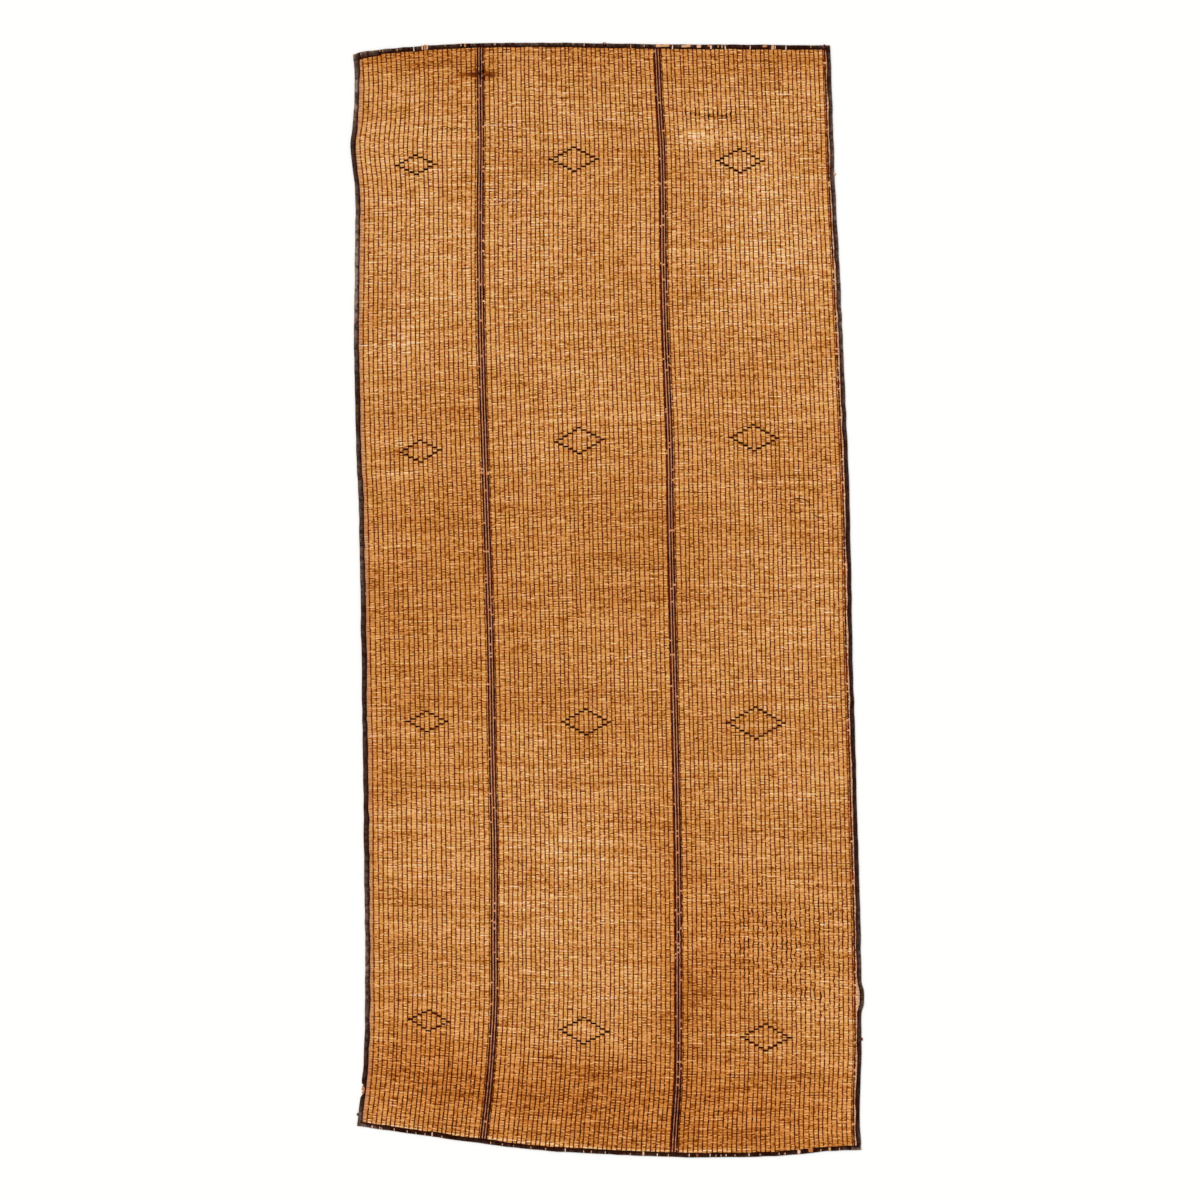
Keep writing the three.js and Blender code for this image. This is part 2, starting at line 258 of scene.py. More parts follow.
HEAD_SQUEEZE, FOOT_SQUEEZE = (3.4, 1.2), (0.6, 1.8)  # the outermost reeds are pressed into the folds
field_thongs = {
    name: start + (end - start) / cells * np.arange(0 if name == "left" else 1, cells)
    for name, (start, end, cells) in FIELDS.items()
}
band_thongs = np.array([band + step for band in BANDS for step in BAND_STEPS])
beside_thongs = np.array([FIELDS["left"][1], *FIELDS["middle"][:2], FIELDS["right"][0]])
edge_thongs = WIDTH - np.array(EDGE_THONGS)
thong_places = np.sort(np.concatenate([*field_thongs.values(), band_thongs, beside_thongs, edge_thongs]))
cell_places = np.concatenate([[LEFT_CELL], thong_places, WIDTH - np.array(EDGE_CELLS)])
reed_shares = (np.arange(REEDS) + 0.5) / REEDS
reed_shares[:2] += np.array(HEAD_SQUEEZE) / LENGTH
reed_shares[-2:] -= np.array(FOOT_SQUEEZE) / LENGTH


def cell_number(across):
    """The number of the thong at a place across, with fractions between thongs."""
    return np.interp(across, cell_places, np.arange(len(cell_places)) - 1.0)


BAND_NUMBERS = [float(cell_number(band)) for band in BANDS]
EDGE_NUMBER = float(cell_number(edge_thongs[1]))
print(len(thong_places), "thongs over", REEDS, "reeds; bands at thongs", BAND_NUMBERS)

# %% [markdown]
# ## Wear
# People sat, slept and walked on this mat. Some places are bleached, the foot end is dark and red with dirt
# and oil, and elsewhere thongs are slack and crinkled, caked with grime or frayed to black stubs. Each place
# is a soft oval that is listed: x and y of its middle, its two reaches in millimetres, and an
# amount. A painted image could do the same, but ovals stay small and can be moved.

# %% Bleached, reddened, frayed, grimy and slack places
BLEACHED = [  # below nought, darker
    (370, 1680, 100, 75, 0.16), (-735, 921, 80, 90, 0.14), (-735, 440, 60, 45, 0.14),
    (-699, -925, 60, 110, 0.12), (-190, -850, 170, 330, 0.11), (117, -1351, 80, 70, 0.12),
    (756, -1457, 90, 90, 0.12), (-640, 1330, 260, 330, 0.06), (-250, 1150, 190, 520, 0.08),
    (520, 1260, 300, 260, 0.05), (-600, 30, 280, 300, -0.05), (60, 60, 330, 300, -0.06),
    (480, -1150, 260, 170, -0.08), (330, -1400, 160, 150, -0.08), (-50, -1760, 620, 190, -0.12),
    (450, -1900, 330, 90, -0.08), (-700, -1560, 240, 160, -0.05), (-447, 1862, 46, 12, -0.75),
    (-560, 330, 330, 160, -0.10), (-560, -300, 330, 260, -0.06), (-100, -350, 300, 120, -0.08),
    (-800, 0, 110, 500, -0.05), (130, 330, 160, 260, -0.06), (650, 1226, 150, 120, 0.07),
    (700, 1738, 120, 100, 0.06), (-330, -1250, 120, 260, 0.05), (480, 1480, 120, 90, 0.06),
    (-680, 1917, 200, 52, -0.16), (560, 1930, 300, 40, -0.1), (620, 1653, 150, 90, 0.065),
    (440, 1141, 140, 90, 0.07), (-360, 1220, 200, 130, -0.05), (-400, 170, 240, 150, -0.07),
    (480, -563, 330, 80, -0.045), (0, -1926, 400, 70, -0.055), (245, -1500, 50, 400, -0.08),
    (338, 1645, 45, 45, 0.2), (365, 1748, 75, 16, 0.16), (-486, 120, 100, 150, -0.06),
    (420, 1400, 100, 240, 0.05), (610, 715, 90, 170, 0.05), (-788, -648, 80, 90, -0.07),
    (818, -1159, 60, 90, 0.08), (200, -950, 110, 200, -0.045),
]
RUDDY = [  # amounts of red
    (-50, -1780, 720, 200, 1.0), (400, -1240, 250, 260, 0.7), (-640, -1640, 260, 200, 0.6),
    (560, -1850, 420, 140, 0.6), (300, 1900, 420, 70, 0.35), (-700, 1935, 190, 38, 0.6),
    (180, -900, 120, 300, 0.3),
]
FRAYED = [  # the share of reeds that hide a thong there
    (340, 1650, 60, 42, 0.6), (590, -1210, 260, 180, 0.1), (740, -1430, 110, 110, 0.12),
]
GRIMY = [  # how black the thongs are
    (590, -1210, 290, 190, 0.7), (740, -1430, 120, 110, 0.4), (-50, -1780, 750, 230, 0.5),
    (560, -1850, 420, 140, 0.2), (-640, -1640, 260, 200, 0.3), (385, 1720, 120, 15, 1.8),
    (300, 1900, 520, 60, 0.25), (-700, 1920, 200, 50, 0.3), (-447, 1862, 50, 26, 0.8),
]
SLACK = [  # how far the thongs crinkle
    (590, -1210, 260, 170, 0.8), (740, -1430, 120, 110, 0.5), (420, 1720, 150, 45, 0.4),
]


def ovals(table, points):
    """The sum of a table's soft ovals at points in millimetres."""
    total = np.zeros(len(points))
    for x, y, wide, long, amount in table:
        total += amount * np.exp(-((points[:, 0] - x) / wide) ** 2 - ((points[:, 1] - y) / long) ** 2)
    return total


wear = (("bleached", BLEACHED), ("ruddy", RUDDY), ("frayed", FRAYED), ("grimy", GRIMY), ("slack", SLACK))
for label, table in wear:
    print(len(table), label, "places")

# %% [markdown]
# ## Materials
# Reed: dry, sun-browned palm, matt. The eye gets its grain from it: each reed is a little lighter or darker
# than the next, and reeds from one stem or one bundle are alike. Every other reed gets a painted highlight
# and the next gets painted shade, as in a plain weave one rises into the light and the next dips, and the
# order changes over from cell to cell. A reed is stained dark, with painted shade, where a thong holds it,
# and pink beside the bands, where the wine-red dye has run. Reeds that come up over the thongs get a painted
# highlight, and reeds that sink get painted shade. The nodes read the numbers of the thong and the reed, so
# all of this follows the weave however it bends.

# %% Sun-browned palm reed: the reed and the cell that a point lies in
FEW = 6.0  # neighbours that change over together
reed_material, tree, shader = new_material("sun-browned palm reed")
labels = ("cell", "reed", "bleached", "ruddy", "grimy")
cell, reed, bleached, ruddy, grimy = (
    add(tree, "Attribute", attribute_name=label, give="Fac") for label in labels
)
where = add(tree, "TexCoord", give="Object")
cell_index = add(tree, "Math", cell, operation="FLOOR")
reed_index = add(tree, "Math", reed, operation="ROUND")
half_index = add(tree, "Math", cell, 2.0, operation="MULTIPLY")
half_index = add(tree, "Math", half_index, operation="FLOOR")
few_index = add(tree, "Math", reed_index, FEW, operation="DIVIDE")
few_index = add(tree, "Math", few_index, operation="FLOOR")
chances = []
for column, row, salt in (
    (cell_index, reed_index, 0.5), (half_index, reed_index, 3.5), (cell_index, few_index, 7.5),
):
    spot = add(tree, "CombineXYZ", column, row, salt)
    chances.append(add(tree, "TexWhiteNoise", {"Vector": spot}))
one_cell, half_cell, swapped = chances
# Every other reed gets a painted highlight and its neighbour painted shade, as one rises into the light and
# the next dips; a swap every few reeds turns the order round
swapped = add(tree, "Math", swapped, operation="ROUND")
lit_reed = add(tree, "Math", reed_index, swapped, operation="ADD")
lit_reed = add(tree, "Math", lit_reed, 2.0, operation="FLOORED_MODULO")
print(len(tree.nodes), "nodes find the reed and the cell")

# %% Sun-browned palm reed: lighter and darker
STRANDS = {  # steps as shares of the streaks' own, depth in the noise, detail, roughness, weight
    "reed": ((0.12, 1.0, 1.0), 9.3, 0.0, 0.5, 0.48),
    "stem": ((0.1, 0.05, 1.0), 0.0, 2.0, 0.5, 0.26),
    "bundle": ((0.02, 0.0026, 1.0), 0.0, 6.0, 0.7, 0.42),
    "grain": ((1.9, 1.3, 1.0), 0.0, 1.0, 0.5, 0.26),
}
PATCHES = [(14.0, 3.0, 0.1), (2.2, 2.0, 0.3)]  # patches to the metre, detail, weight
MIDDLE_TONE = 0.508
SMUDGE = (9.0, 55.0, 1.0)  # smudges of dirt on the reeds, to the metre
streak_spot = add(tree, "CombineXYZ", cell, reed_index)
streak_spot = add(tree, "VectorMath", streak_spot, STREAK, operation="MULTIPLY")
streak = add(tree, "TexNoise", {"Vector": streak_spot, "Scale": 1.0, "Detail": 0.0})
tones = [(one_cell, 0.13), (half_cell, 0.1), (lit_reed, 0.24)]
spots = {}
for strand, (steps, depth, detail, rough, weight) in STRANDS.items():
    deep = (0.0, 0.0, depth)
    spots[strand] = add(tree, "VectorMath", streak_spot, steps, deep, operation="MULTIPLY_ADD")
    noise = {"Vector": spots[strand], "Scale": 1.0, "Detail": detail, "Roughness": rough}
    tones.append((add(tree, "TexNoise", noise), weight))
for scale, detail, weight in PATCHES:
    tones.append((add(tree, "TexNoise", {"Vector": where, "Scale": scale, "Detail": detail}), weight))
middle = MIDDLE_TONE - sum(weight for _, weight in tones) / 2
speckled = add(tree, "Math", one_cell, 1.4, 0.3, operation="MULTIPLY_ADD")
# Bleached places are lighter, and so are the two reeds near the foot, whose share is a painted highlight
tone = add(tree, "Math", bleached, speckled, middle, operation="MULTIPLY_ADD")
for noise, weight in tones:
    tone = add(tree, "Math", noise, weight, tone, operation="MULTIPLY_ADD")
changes = [  # a value, its range, and how far the tone moves at either end of it
    (streak, RAISED - 0.03, RAISED + 0.02, 0.0, 0.16),  # reeds that come up over the thongs: a painted highlight
    (streak, 1 - RAISED - 0.03, 1 - RAISED + 0.02, -0.24, 0.0),  # reeds that sink between their neighbours: painted shade
    (half_cell, 0.1, 0.15, -0.24, 0.0),  # half cells in the shade of a loose reed
]
for value, start, end, low, high in changes:
    change = add(tree, "MapRange", value, start, end, low, high)
    tone = add(tree, "Math", tone, change, operation="ADD")
smudge_spot = add(tree, "VectorMath", where, SMUDGE, operation="MULTIPLY")
smudge = add(tree, "TexNoise", {"Vector": smudge_spot, "Scale": 1.0, "Detail": 4.0})
smudge = add(tree, "MapRange", smudge, 0.5, 0.64, 0.0, -0.26)
tone = add(tree, "Math", smudge, grimy, tone, operation="MULTIPLY_ADD")
print(len(tones), "tones added up")

# %% Sun-browned palm reed: colour, stain and painted shade, and dye
SUN_BROWN = [(0.0, "#803f0a"), (0.3, "#c07b36"), (0.55, "#dc9e5a"), (0.8, "#eebf86"), (1.0, "#f3dab4")]
PINKER, GREENER = (1.02, 0.94, 1.03, 1.0), (0.96, 1.02, 0.85, 1.0)  # how the hue drifts from reed to reed
OILED_RED = (1.0, 0.88, 0.74, 1.0)
# The colour where a thong holds a reed is a stain and painted shade together
THONG_STAIN_AND_SHADE, WINE_STAIN, LEFT_ENDS = tint("#8c3800"), tint("#cc8c6c"), tint("#b47d64")
RIGHT_ENDS = (tint("#a07458"), tint("#f6d2b6"))
FIBRES = (60.0, 1400.0, 1400.0)  # fibres to the metre
# The colour of the tone, tinted from reed to reed and reddened where it is oiled
hue = add(tree, "TexNoise", {"Vector": spots["grain"], "Scale": 0.37, "Detail": 1.0})
hue = add(tree, "MapRange", hue, 0.3, 0.7)
hue = add(tree, "Mix", {0: hue, 6: PINKER, 7: GREENER}, data_type="RGBA", give=2)
hue = add(tree, "Mix", {0: ruddy, 6: hue, 7: OILED_RED}, data_type="RGBA", give=2)
colour = colours(tree, tone, SUN_BROWN)
colour = add(tree, "VectorMath", colour, hue, operation="MULTIPLY")
# Stain and painted shade under and beside the nearest thong, which sways and drifts by the same noise as the
# thong itself
nearest = add(tree, "Math", cell, operation="ROUND")
stain_and_shade = add(tree, "Math", cell, nearest, operation="SUBTRACT")
for steps, detail, reach in ((SWAY, 3.0, SWAY_REACH), (DRIFT, 0.0, DRIFT_REACH)):
    spot = add(tree, "CombineXYZ", nearest, reed_index, 1.0)
    spot = add(tree, "VectorMath", spot, steps, operation="MULTIPLY")
    aside = add(tree, "TexNoise", {"Vector": spot, "Scale": 1.0, "Detail": detail})
    aside = add(tree, "Math", aside, 0.5, operation="SUBTRACT")
    stain_and_shade = add(tree, "Math", aside, -reach / PITCH, stain_and_shade, operation="MULTIPLY_ADD")
stain_and_shade = add(tree, "Math", stain_and_shade, operation="ABSOLUTE")
stain_and_shade = add(tree, "MapRange", stain_and_shade, 0.06, 0.22, 0.6, 0.0, interpolation_type="SMOOTHSTEP")
colour = add(tree, "Mix", {0: stain_and_shade, 6: colour, 7: THONG_STAIN_AND_SHADE}, data_type="RGBA", give=2)
# Dye beside the bands
for number in BAND_NUMBERS:
    dyed = add(tree, "Math", cell, number, 1.25, operation="COMPARE")
    dyed = add(tree, "Math", dyed, 0.7, operation="MULTIPLY")
    colour = add(tree, "Mix", {0: dyed, 6: colour, 7: WINE_STAIN}, data_type="RGBA", give=2)
# Ends of the reeds beside the bindings
right_ends = add(tree, "Math", cell, EDGE_NUMBER, operation="GREATER_THAN")
right_ends = add(tree, "Math", right_ends, 0.6, operation="MULTIPLY")
end_colour = add(tree, "Mix", {0: one_cell, 6: RIGHT_ENDS[0], 7: RIGHT_ENDS[1]}, data_type="RGBA", give=2)
colour = add(tree, "Mix", {0: right_ends, 6: colour, 7: end_colour}, data_type="RGBA", give=2)
left_ends = add(tree, "MapRange", cell, -0.4, -0.15, 0.5, 0.0)
colour = add(tree, "Mix", {0: left_ends, 6: colour, 7: LEFT_ENDS}, data_type="RGBA", give=2)
# Fibres, for the relief alone
fibre = add(tree, "VectorMath", where, FIBRES, operation="MULTIPLY")
fibre = add(tree, "TexNoise", {"Vector": fibre, "Scale": 1.0, "Detail": 2.0})
dress(tree, shader, colour, rough=0.65, height=fibre, strength=0.35)
print(reed_material.name, len(tree.nodes), "nodes")

# %% [markdown]
# Leather: goatskin in four finishes. Thongs are oiled, nearly black where they were left alone and brown
# where feet have rubbed them. The bands are dyed a wine red that has gone almost black. The stitches of the
# diamonds are the darkest, and the bindings are thick, wrinkled and grey where they catch the light. One
# function makes them all, from two colours and the size of the patches between them. The last finish is what
# shows where a binding is worn through: rawhide and reed, from brown to cream.

# %% Leathers
PORES = 700.0  # to the metre


def leather(name, deep, rubbed_to, grain, amount, rough, marks=()):
    """Leather between a deep colour and a rubbed one, in patches of a size, with marks by an attribute."""
    material, tree, shader = new_material(name)
    where = add(tree, "TexCoord", give="Object")
    patch = add(tree, "TexNoise", {"Vector": where, "Scale": 1 / (grain * MM), "Detail": 5.0})
    worn = add(tree, "MapRange", patch, 0.38, 0.72, 0.0, amount)
    colour = add(tree, "Mix", {0: worn, 6: tint(deep), 7: tint(rubbed_to)}, data_type="RGBA", give=2)
    for label, code, size in marks:
        mark = add(tree, "Attribute", attribute_name=label, give="Fac")
        spots = add(tree, "TexNoise", {"Vector": where, "Scale": 1 / (size * MM), "Detail": 3.0})
        spots = add(tree, "MapRange", spots, 0.38, 0.62, 0.3, 1.7)
        mark = add(tree, "Math", mark, spots, operation="MULTIPLY")
        colour = add(tree, "Mix", {0: mark, 6: colour, 7: tint(code)}, data_type="RGBA", give=2)
    pores = add(tree, "TexNoise", {"Vector": where, "Scale": PORES, "Detail": 2.0})
    dress(tree, shader, colour, rough, height=pores, strength=0.25)
    print(name, len(tree.nodes), "nodes")
    return material


# name, deep and rubbed colours, patches in mm, how much is rubbed, roughness, marks with their spots in mm
thong_material = leather(
    "oiled goatskin thong", "#5e1600", "#9a3a00", 28, 0.8, 0.65, [("grime", "#200600", 14)]
)
band_material = leather(
    "wine-dyed goatskin thong", "#3c0d06", "#763018", 60, 0.7, 0.6, [("grime", "#1c0806", 14)]
)
stitch_material = leather("black stitching leather", "#180503", "#2e0f09", 20, 0.7, 0.6)
binding_material = leather(
    "folded binding leather", "#1e0400", "#3c1c0e", 22, 0.6, 0.55, [("glare", "#8f7464", 14)]
)

# %% Rawhide and reed that show through a worn binding
BARE = [(0.0, "#2a1208"), (0.25, "#9c4a30"), (0.5, "#c48a52"), (0.75, "#dcb096"), (1.0, "#fbeedd")]
FLECKS = 250.0  # to the metre
bare_material, tree, shader = new_material("rawhide and bare reed")
tone = add(tree, "Attribute", attribute_name="tone", give="Fac")
where = add(tree, "TexCoord", give="Object")
flecks = add(tree, "TexNoise", {"Vector": where, "Scale": FLECKS, "Detail": 2.0})
flecks = add(tree, "Math", flecks, 0.5, operation="SUBTRACT")
tone = add(tree, "Math", flecks, 0.3, tone, operation="MULTIPLY_ADD")
dress(tree, shader, colours(tree, tone, BARE), rough=0.65)
print([m.name for m in bpy.data.materials])

# %% [markdown]
# ## Reeds
# On the mat a reed is a split palm stem, as long as the mat is wide and flattened by the weaving. A flat
# sheet with a bump would be lighter, but only round reeds keep the fine shade between them, so a tree sweeps
# a flattened tube along each row. They are one piece, because together they are the sheet that the rest
# holds. The thongs are swept too, so one function ends either tree. It also unrolls each strand onto a row
# of its own on a map, where its colours can be baked.


# %% A flattened ring swept along each guide line
def sweep(tree, given, lines, ring, thick, along, row, rows, row_axis):
    """Ends a tree with strands along its lines. The ring is a number of sides and a radius."""
    lines = add(tree, "MeshToCurve", lines)
    lines = add(tree, "SetCurveNormal", lines, mode="Z_UP")
    section = add(tree, "CurvePrimitiveCircle", {0: ring[0], 4: ring[1]})
    section = add(tree, "Transform", {0: section, 2: (0.0, 0.0, math.pi / 2)})
    side = add(tree, "SeparateXYZ", add(tree, "InputPosition"))
    section = add(tree, "StoreNamedAttribute", {0: section, 2: "round", 3: side})
    scale = add(tree, "CombineXYZ", given["Width"], given["Height"], 1.0)
    section = add(tree, "Transform", {0: section, 3: scale})
    strands = add(tree, "CurveToMesh", lines, section, thick, True)
    side = add(tree, "InputNamedAttribute", "round")
    row = add(tree, "Math", row, side, operation="ADD")
    row = add(tree, "Math", row, 0.5, operation="ADD")
    row = add(tree, "Math", row, rows, operation="DIVIDE")
    unrolled = add(tree, "CombineXYZ", {row_axis: row, 1 - row_axis: along})
    unrolled = {0: strands, 2: "OFBake", 3: unrolled}
    strands = add(tree, "StoreNamedAttribute", unrolled, data_type="FLOAT2", domain="CORNER")
    strands = add(tree, "SetShadeSmooth", strands)
    strands = add(tree, "RealizeInstances", strands)
    strands = add(tree, "SetMaterial", {0: strands, 2: given["Material"]})
    add(tree, "NodeGroupOutput", strands)
    print(tree.name, len(tree.nodes), "nodes")


reed_tree, given = new_tree("swept reeds", [
    ("Geometry", "Geometry"), ("Width", "Float"), ("Height", "Float"), ("Sides", "Int"),
    ("Material", "Material"),
])
reed, along, thick = (
    add(reed_tree, "InputNamedAttribute", label) for label in ("reed", "bake_u", "thick")
)
sweep(reed_tree, given, given["Geometry"], (given["Sides"], 0.5), thick, along, reed, REEDS, row_axis=1)

# %% The reeds, from end to end of the mat
REED_MIDDLE = 2.1  # height above the floor
REED_WIDTH, REED_HEIGHT, REED_SIDES = 5.5, 2.6, 5
REED_ENDS, RAGGED = 9.0, (-2, 3)  # in from either edge, and from how much less to how much more
REED_STOPS = [  # start, end and points in each field
    (*FIELDS["left"][:2], 6), (*FIELDS["middle"][:2], 8), (FIELDS["right"][0], 1676.6, 6),
]
UNEVEN_ALONG, UNEVEN_HEIGHT, UNEVEN_BEND = 0.14, 0.12, 0.06  # how far the reeds stray from their places
THICKNESSES = (0.98, 1.08)  # shares of the usual one
LIT_FOOT_REEDS = (slice(-5, -3), slice(17))  # two reeds near the foot, as far as the right field, with a painted highlight where the mat curves up
FOOT_HIGHLIGHT = 0.3
rng = np.random.default_rng(11)
reed_stops = np.concatenate([
    [REED_ENDS], *(np.linspace(*stops) for stops in REED_STOPS), [WIDTH - EDGE_THONGS[0], WIDTH - REED_ENDS],
])
across = np.tile(reed_stops, (REEDS, 1))
across[:, 0] += rng.uniform(*RAGGED, REEDS) - TORN["reeds_out"] * bump(reed_shares, TORN)
across[:, -1] += rng.uniform(-RAGGED[1], -RAGGED[0], REEDS) + BOW["out"] * bump(reed_shares, BOW)
inset = rng.normal(0, UNEVEN_ALONG, (REEDS, 1))
flat = place(across, reed_shares[:, None], inset)
height = REED_MIDDLE + rng.normal(0, UNEVEN_HEIGHT, (REEDS, 1)) + rng.normal(0, UNEVEN_BEND, across.shape)
points = np.concatenate([flat, height.reshape(-1, 1)], axis=1).reshape(REEDS, -1, 3)
bleached, ruddy, grimy = (ovals(table, flat).reshape(across.shape) for table in (BLEACHED, RUDDY, GRIMY))
# The two reeds near the foot get a painted highlight where the mat curves up on its thick end
bleached[LIT_FOOT_REEDS] += FOOT_HIGHLIGHT
lines = guide(
    "reed lines", points,
    reed=np.arange(REEDS)[:, None], cell=cell_number(across), bake_u=across / WIDTH,
    thick=rng.uniform(*THICKNESSES, (REEDS, 1)), bleached=bleached, ruddy=ruddy, grimy=grimy,
)
reeds = grow(
    "reeds", lines, reed_tree,
    Width=REED_WIDTH * MM, Height=REED_HEIGHT * MM, Sides=REED_SIDES, Material=reed_material,
)

# %% [markdown]
# ## Thongs
# A thong is a strip of goatskin, 3 or 4 mm broad and less than 1 mm thick. It lies over most reeds and dips
# under a few, more of them where it is frayed. The guide line runs at the height of the reeds, and the tree
# lifts or sinks every point, so each crossing costs one point of a line. It reads the same noise as the
# reeds' colour, so a reed that comes up over a row of thongs gets a painted highlight.

# %% A tree that weaves a strip along each guide line
TRIANGLE = (3, 0.5774)  # sides, and the radius that makes them one unit broad
thong_tree, given = new_tree("woven thongs", [
    ("Geometry", "Geometry"), ("Width", "Float"), ("Height", "Float"), ("Lift", "Float"),
    ("Raised", "Float"), ("Skips", "Float"), ("Wobble", "Float"), ("Drift", "Float"), ("Step", "Float"),
    ("Uneven", "Float"), ("First", "Float"), ("Count", "Float"), ("Material", "Material"),
])
tree = thong_tree
labels = ("thong", "reed", "frayed", "grimy", "slack")
thong, reed, frayed, grimy, slack = (add(tree, "InputNamedAttribute", label) for label in labels)
# Chances that belong to one crossing: to skip the reed, to step aside and to be broader
crossing = add(tree, "Math", thong, float(REEDS), reed, operation="MULTIPLY_ADD")
chances = []
for low, high, seed in ((0.0, 1.0, 4), (-0.5, 0.5, 5), (-1.0, 1.0, 6)):
    chances.append(add(tree, "RandomValue", {2: low, 3: high, 7: crossing, 8: seed}, give=1))
skip_chance, step, breadth = chances

# Noises that run on along a thong
spot = add(tree, "CombineXYZ", thong, reed, 1.0)
noises = []
for steps, detail in ((SWAY, 3.0), (DRIFT, 0.0), (CRINKLE, 1.0), (CLUMP, 1.0)):
    scaled = add(tree, "VectorMath", spot, steps, operation="MULTIPLY")
    noises.append(add(tree, "TexNoise", {"Vector": scaled, "Scale": 1.0, "Detail": detail}))
sway, drift, crinkle, clump = noises

# How far it lies aside
slack = add(tree, "Math", slack, CRINKLE_REACH * MM, operation="MULTIPLY")
aside = add(tree, "Math", step, given["Step"], operation="MULTIPLY")
for noise, reach in ((sway, given["Wobble"]), (crinkle, slack), (drift, given["Drift"])):
    noise = add(tree, "Math", noise, 0.5, operation="SUBTRACT")
    aside = add(tree, "Math", noise, reach, aside, operation="MULTIPLY_ADD")

# Over the reed or under it
streak_spot = add(tree, "CombineXYZ", thong, reed)
streak_spot = add(tree, "VectorMath", streak_spot, STREAK, operation="MULTIPLY")
streak = add(tree, "TexNoise", {"Vector": streak_spot, "Scale": 1.0, "Detail": 0.0})
raised = add(tree, "Math", streak, given["Raised"], operation="GREATER_THAN")
skips = add(tree, "Math", given["Skips"], frayed, operation="ADD")
skipped = add(tree, "Math", skip_chance, skips, operation="LESS_THAN")
under = add(tree, "Math", raised, skipped, operation="MAXIMUM")
lift = add(tree, "Math", under, -2.0, 1.0, operation="MULTIPLY_ADD")
lift = add(tree, "Math", lift, given["Lift"], operation="MULTIPLY")
shift = add(tree, "CombineXYZ", {0: aside, 2: lift})
woven = add(tree, "SetPosition", {0: given["Geometry"], 3: shift})

# Dirt, and how broad the thong is with it
clump = add(tree, "MapRange", clump, 0.42, 0.6, 0.15, 1.0)
clump = add(tree, "Math", clump, grimy, operation="MULTIPLY")
woven = add(tree, "StoreNamedAttribute", {0: woven, 2: "grime", 3: clump})
swollen = add(tree, "Math", clump, 0.5, 1.0, operation="MULTIPLY_ADD")
breadth = add(tree, "Math", breadth, given["Uneven"], 1.0, operation="MULTIPLY_ADD")
breadth = add(tree, "Math", breadth, swollen, operation="MULTIPLY")
along = add(tree, "Math", reed, REEDS, operation="DIVIDE")
row = add(tree, "Math", thong, given["First"], operation="SUBTRACT")
sweep(tree, given, woven, TRIANGLE, breadth, along, row, given["Count"], row_axis=0)

# %% The thongs of each field, the bands and the right edge
THONG_HEIGHT, THONG_LIFT = 0.85, 1.7
THONGS = {  # width, noise that raises a reed, share of skips, wobble, drift, step, unevenness
    "field": (3.4, RAISED, 0.04, SWAY_REACH, DRIFT_REACH, 1.4, 0.35),
    "beside a band": (3.2, RAISED, 0.04, 3.0, 1.0, 1.4, 0.35),
    "band": (6.2, 0.8, 0.02, 1.2, 0.6, 0.8, 0.15),
    "narrow edge": (3.0, 0.8, 0.05, 2.0, 0.0, 1.0, 0.35),
    "broad edge": (6.0, 0.8, 0.03, 2.0, 0.0, 1.2, 0.35),
}


def weave(name, places, kind, material=thong_material):
    """One piece of thongs, from the first reed to the last."""
    width, raised, skips, wobble, drift, step, uneven = THONGS[kind]
    shape = (len(places), REEDS)
    flat = place(places[:, None], reed_shares[None, :])
    points = np.concatenate([flat, np.full((len(flat), 1), REED_MIDDLE)], axis=1).reshape(*shape, 3)
    frayed, grimy, slack = (ovals(table, flat).reshape(shape) for table in (FRAYED, GRIMY, SLACK))
    numbers = cell_number(places).round()
    lines = guide(
        name + " lines", points, thong=numbers[:, None], reed=np.arange(REEDS)[None, :],
        frayed=frayed, grimy=grimy, slack=slack,
    )
    return grow(
        name, lines, thong_tree, Width=width * MM, Height=THONG_HEIGHT * MM, Lift=THONG_LIFT * MM,
        Raised=raised, Skips=skips, Wobble=wobble * MM, Drift=drift * MM, Step=step * MM, Uneven=uneven,
        First=float(numbers.min()), Count=float(np.ptp(numbers) + 1), Material=material,
    )


thong_pieces = [weave("thongs_" + name, places, "field") for name, places in field_thongs.items()]
thong_pieces += [
    weave("thongs_beside_bands", beside_thongs, "beside a band"),
    weave("thongs_left_band", band_thongs[:3], "band", band_material),
    weave("thongs_right_band", band_thongs[3:], "band", band_material),
    weave("thongs_right_edge_inner", edge_thongs[:1], "narrow edge"),
    weave("thongs_right_edge", edge_thongs[1:], "broad edge"),
]

# %% [markdown]
# ## Diamonds
# Short black stitches lie across the cells between thongs and step up and down to make four rows of
# outlined diamonds. Each stitch is a bent strip of leather. The tree makes one of a millimetre and puts it
# on every point, with its own length, breadth and turn, so the same tree also sews the worn edges below.

# %% A tree that puts a stitch on each point
STITCH_SIDES, STITCH_POINTS, JITTER = 8, 6, 0.09  # the jitter of its turn is in radians
stitch_tree, given = new_tree("stitches on points", [
    ("Geometry", "Geometry"), ("Height", "Float"), ("Sag", "Float"), ("Seed", "Int"),
    ("Material", "Material"),
])
tree = stitch_tree
half = 0.5 * MM
path = add(tree, "CurvePrimitiveLine", (-half, 0.0, 0.0), (half, 0.0, 0.0))
path = add(tree, "ResampleCurve", {0: path, 2: STITCH_POINTS})
path = add(tree, "SetCurveNormal", path, mode="Z_UP")
ring = add(tree, "CurvePrimitiveCircle", {0: STITCH_SIDES, 4: 0.5})
scale = add(tree, "CombineXYZ", MM, given["Height"], 1.0)
section = add(tree, "Transform", {0: ring, 3: scale})
stitch = add(tree, "CurveToMesh", {0: path, 1: section, 3: True})
from_middle = add(tree, "SeparateXYZ", add(tree, "InputPosition"))
from_middle = add(tree, "Math", from_middle, half, operation="DIVIDE")
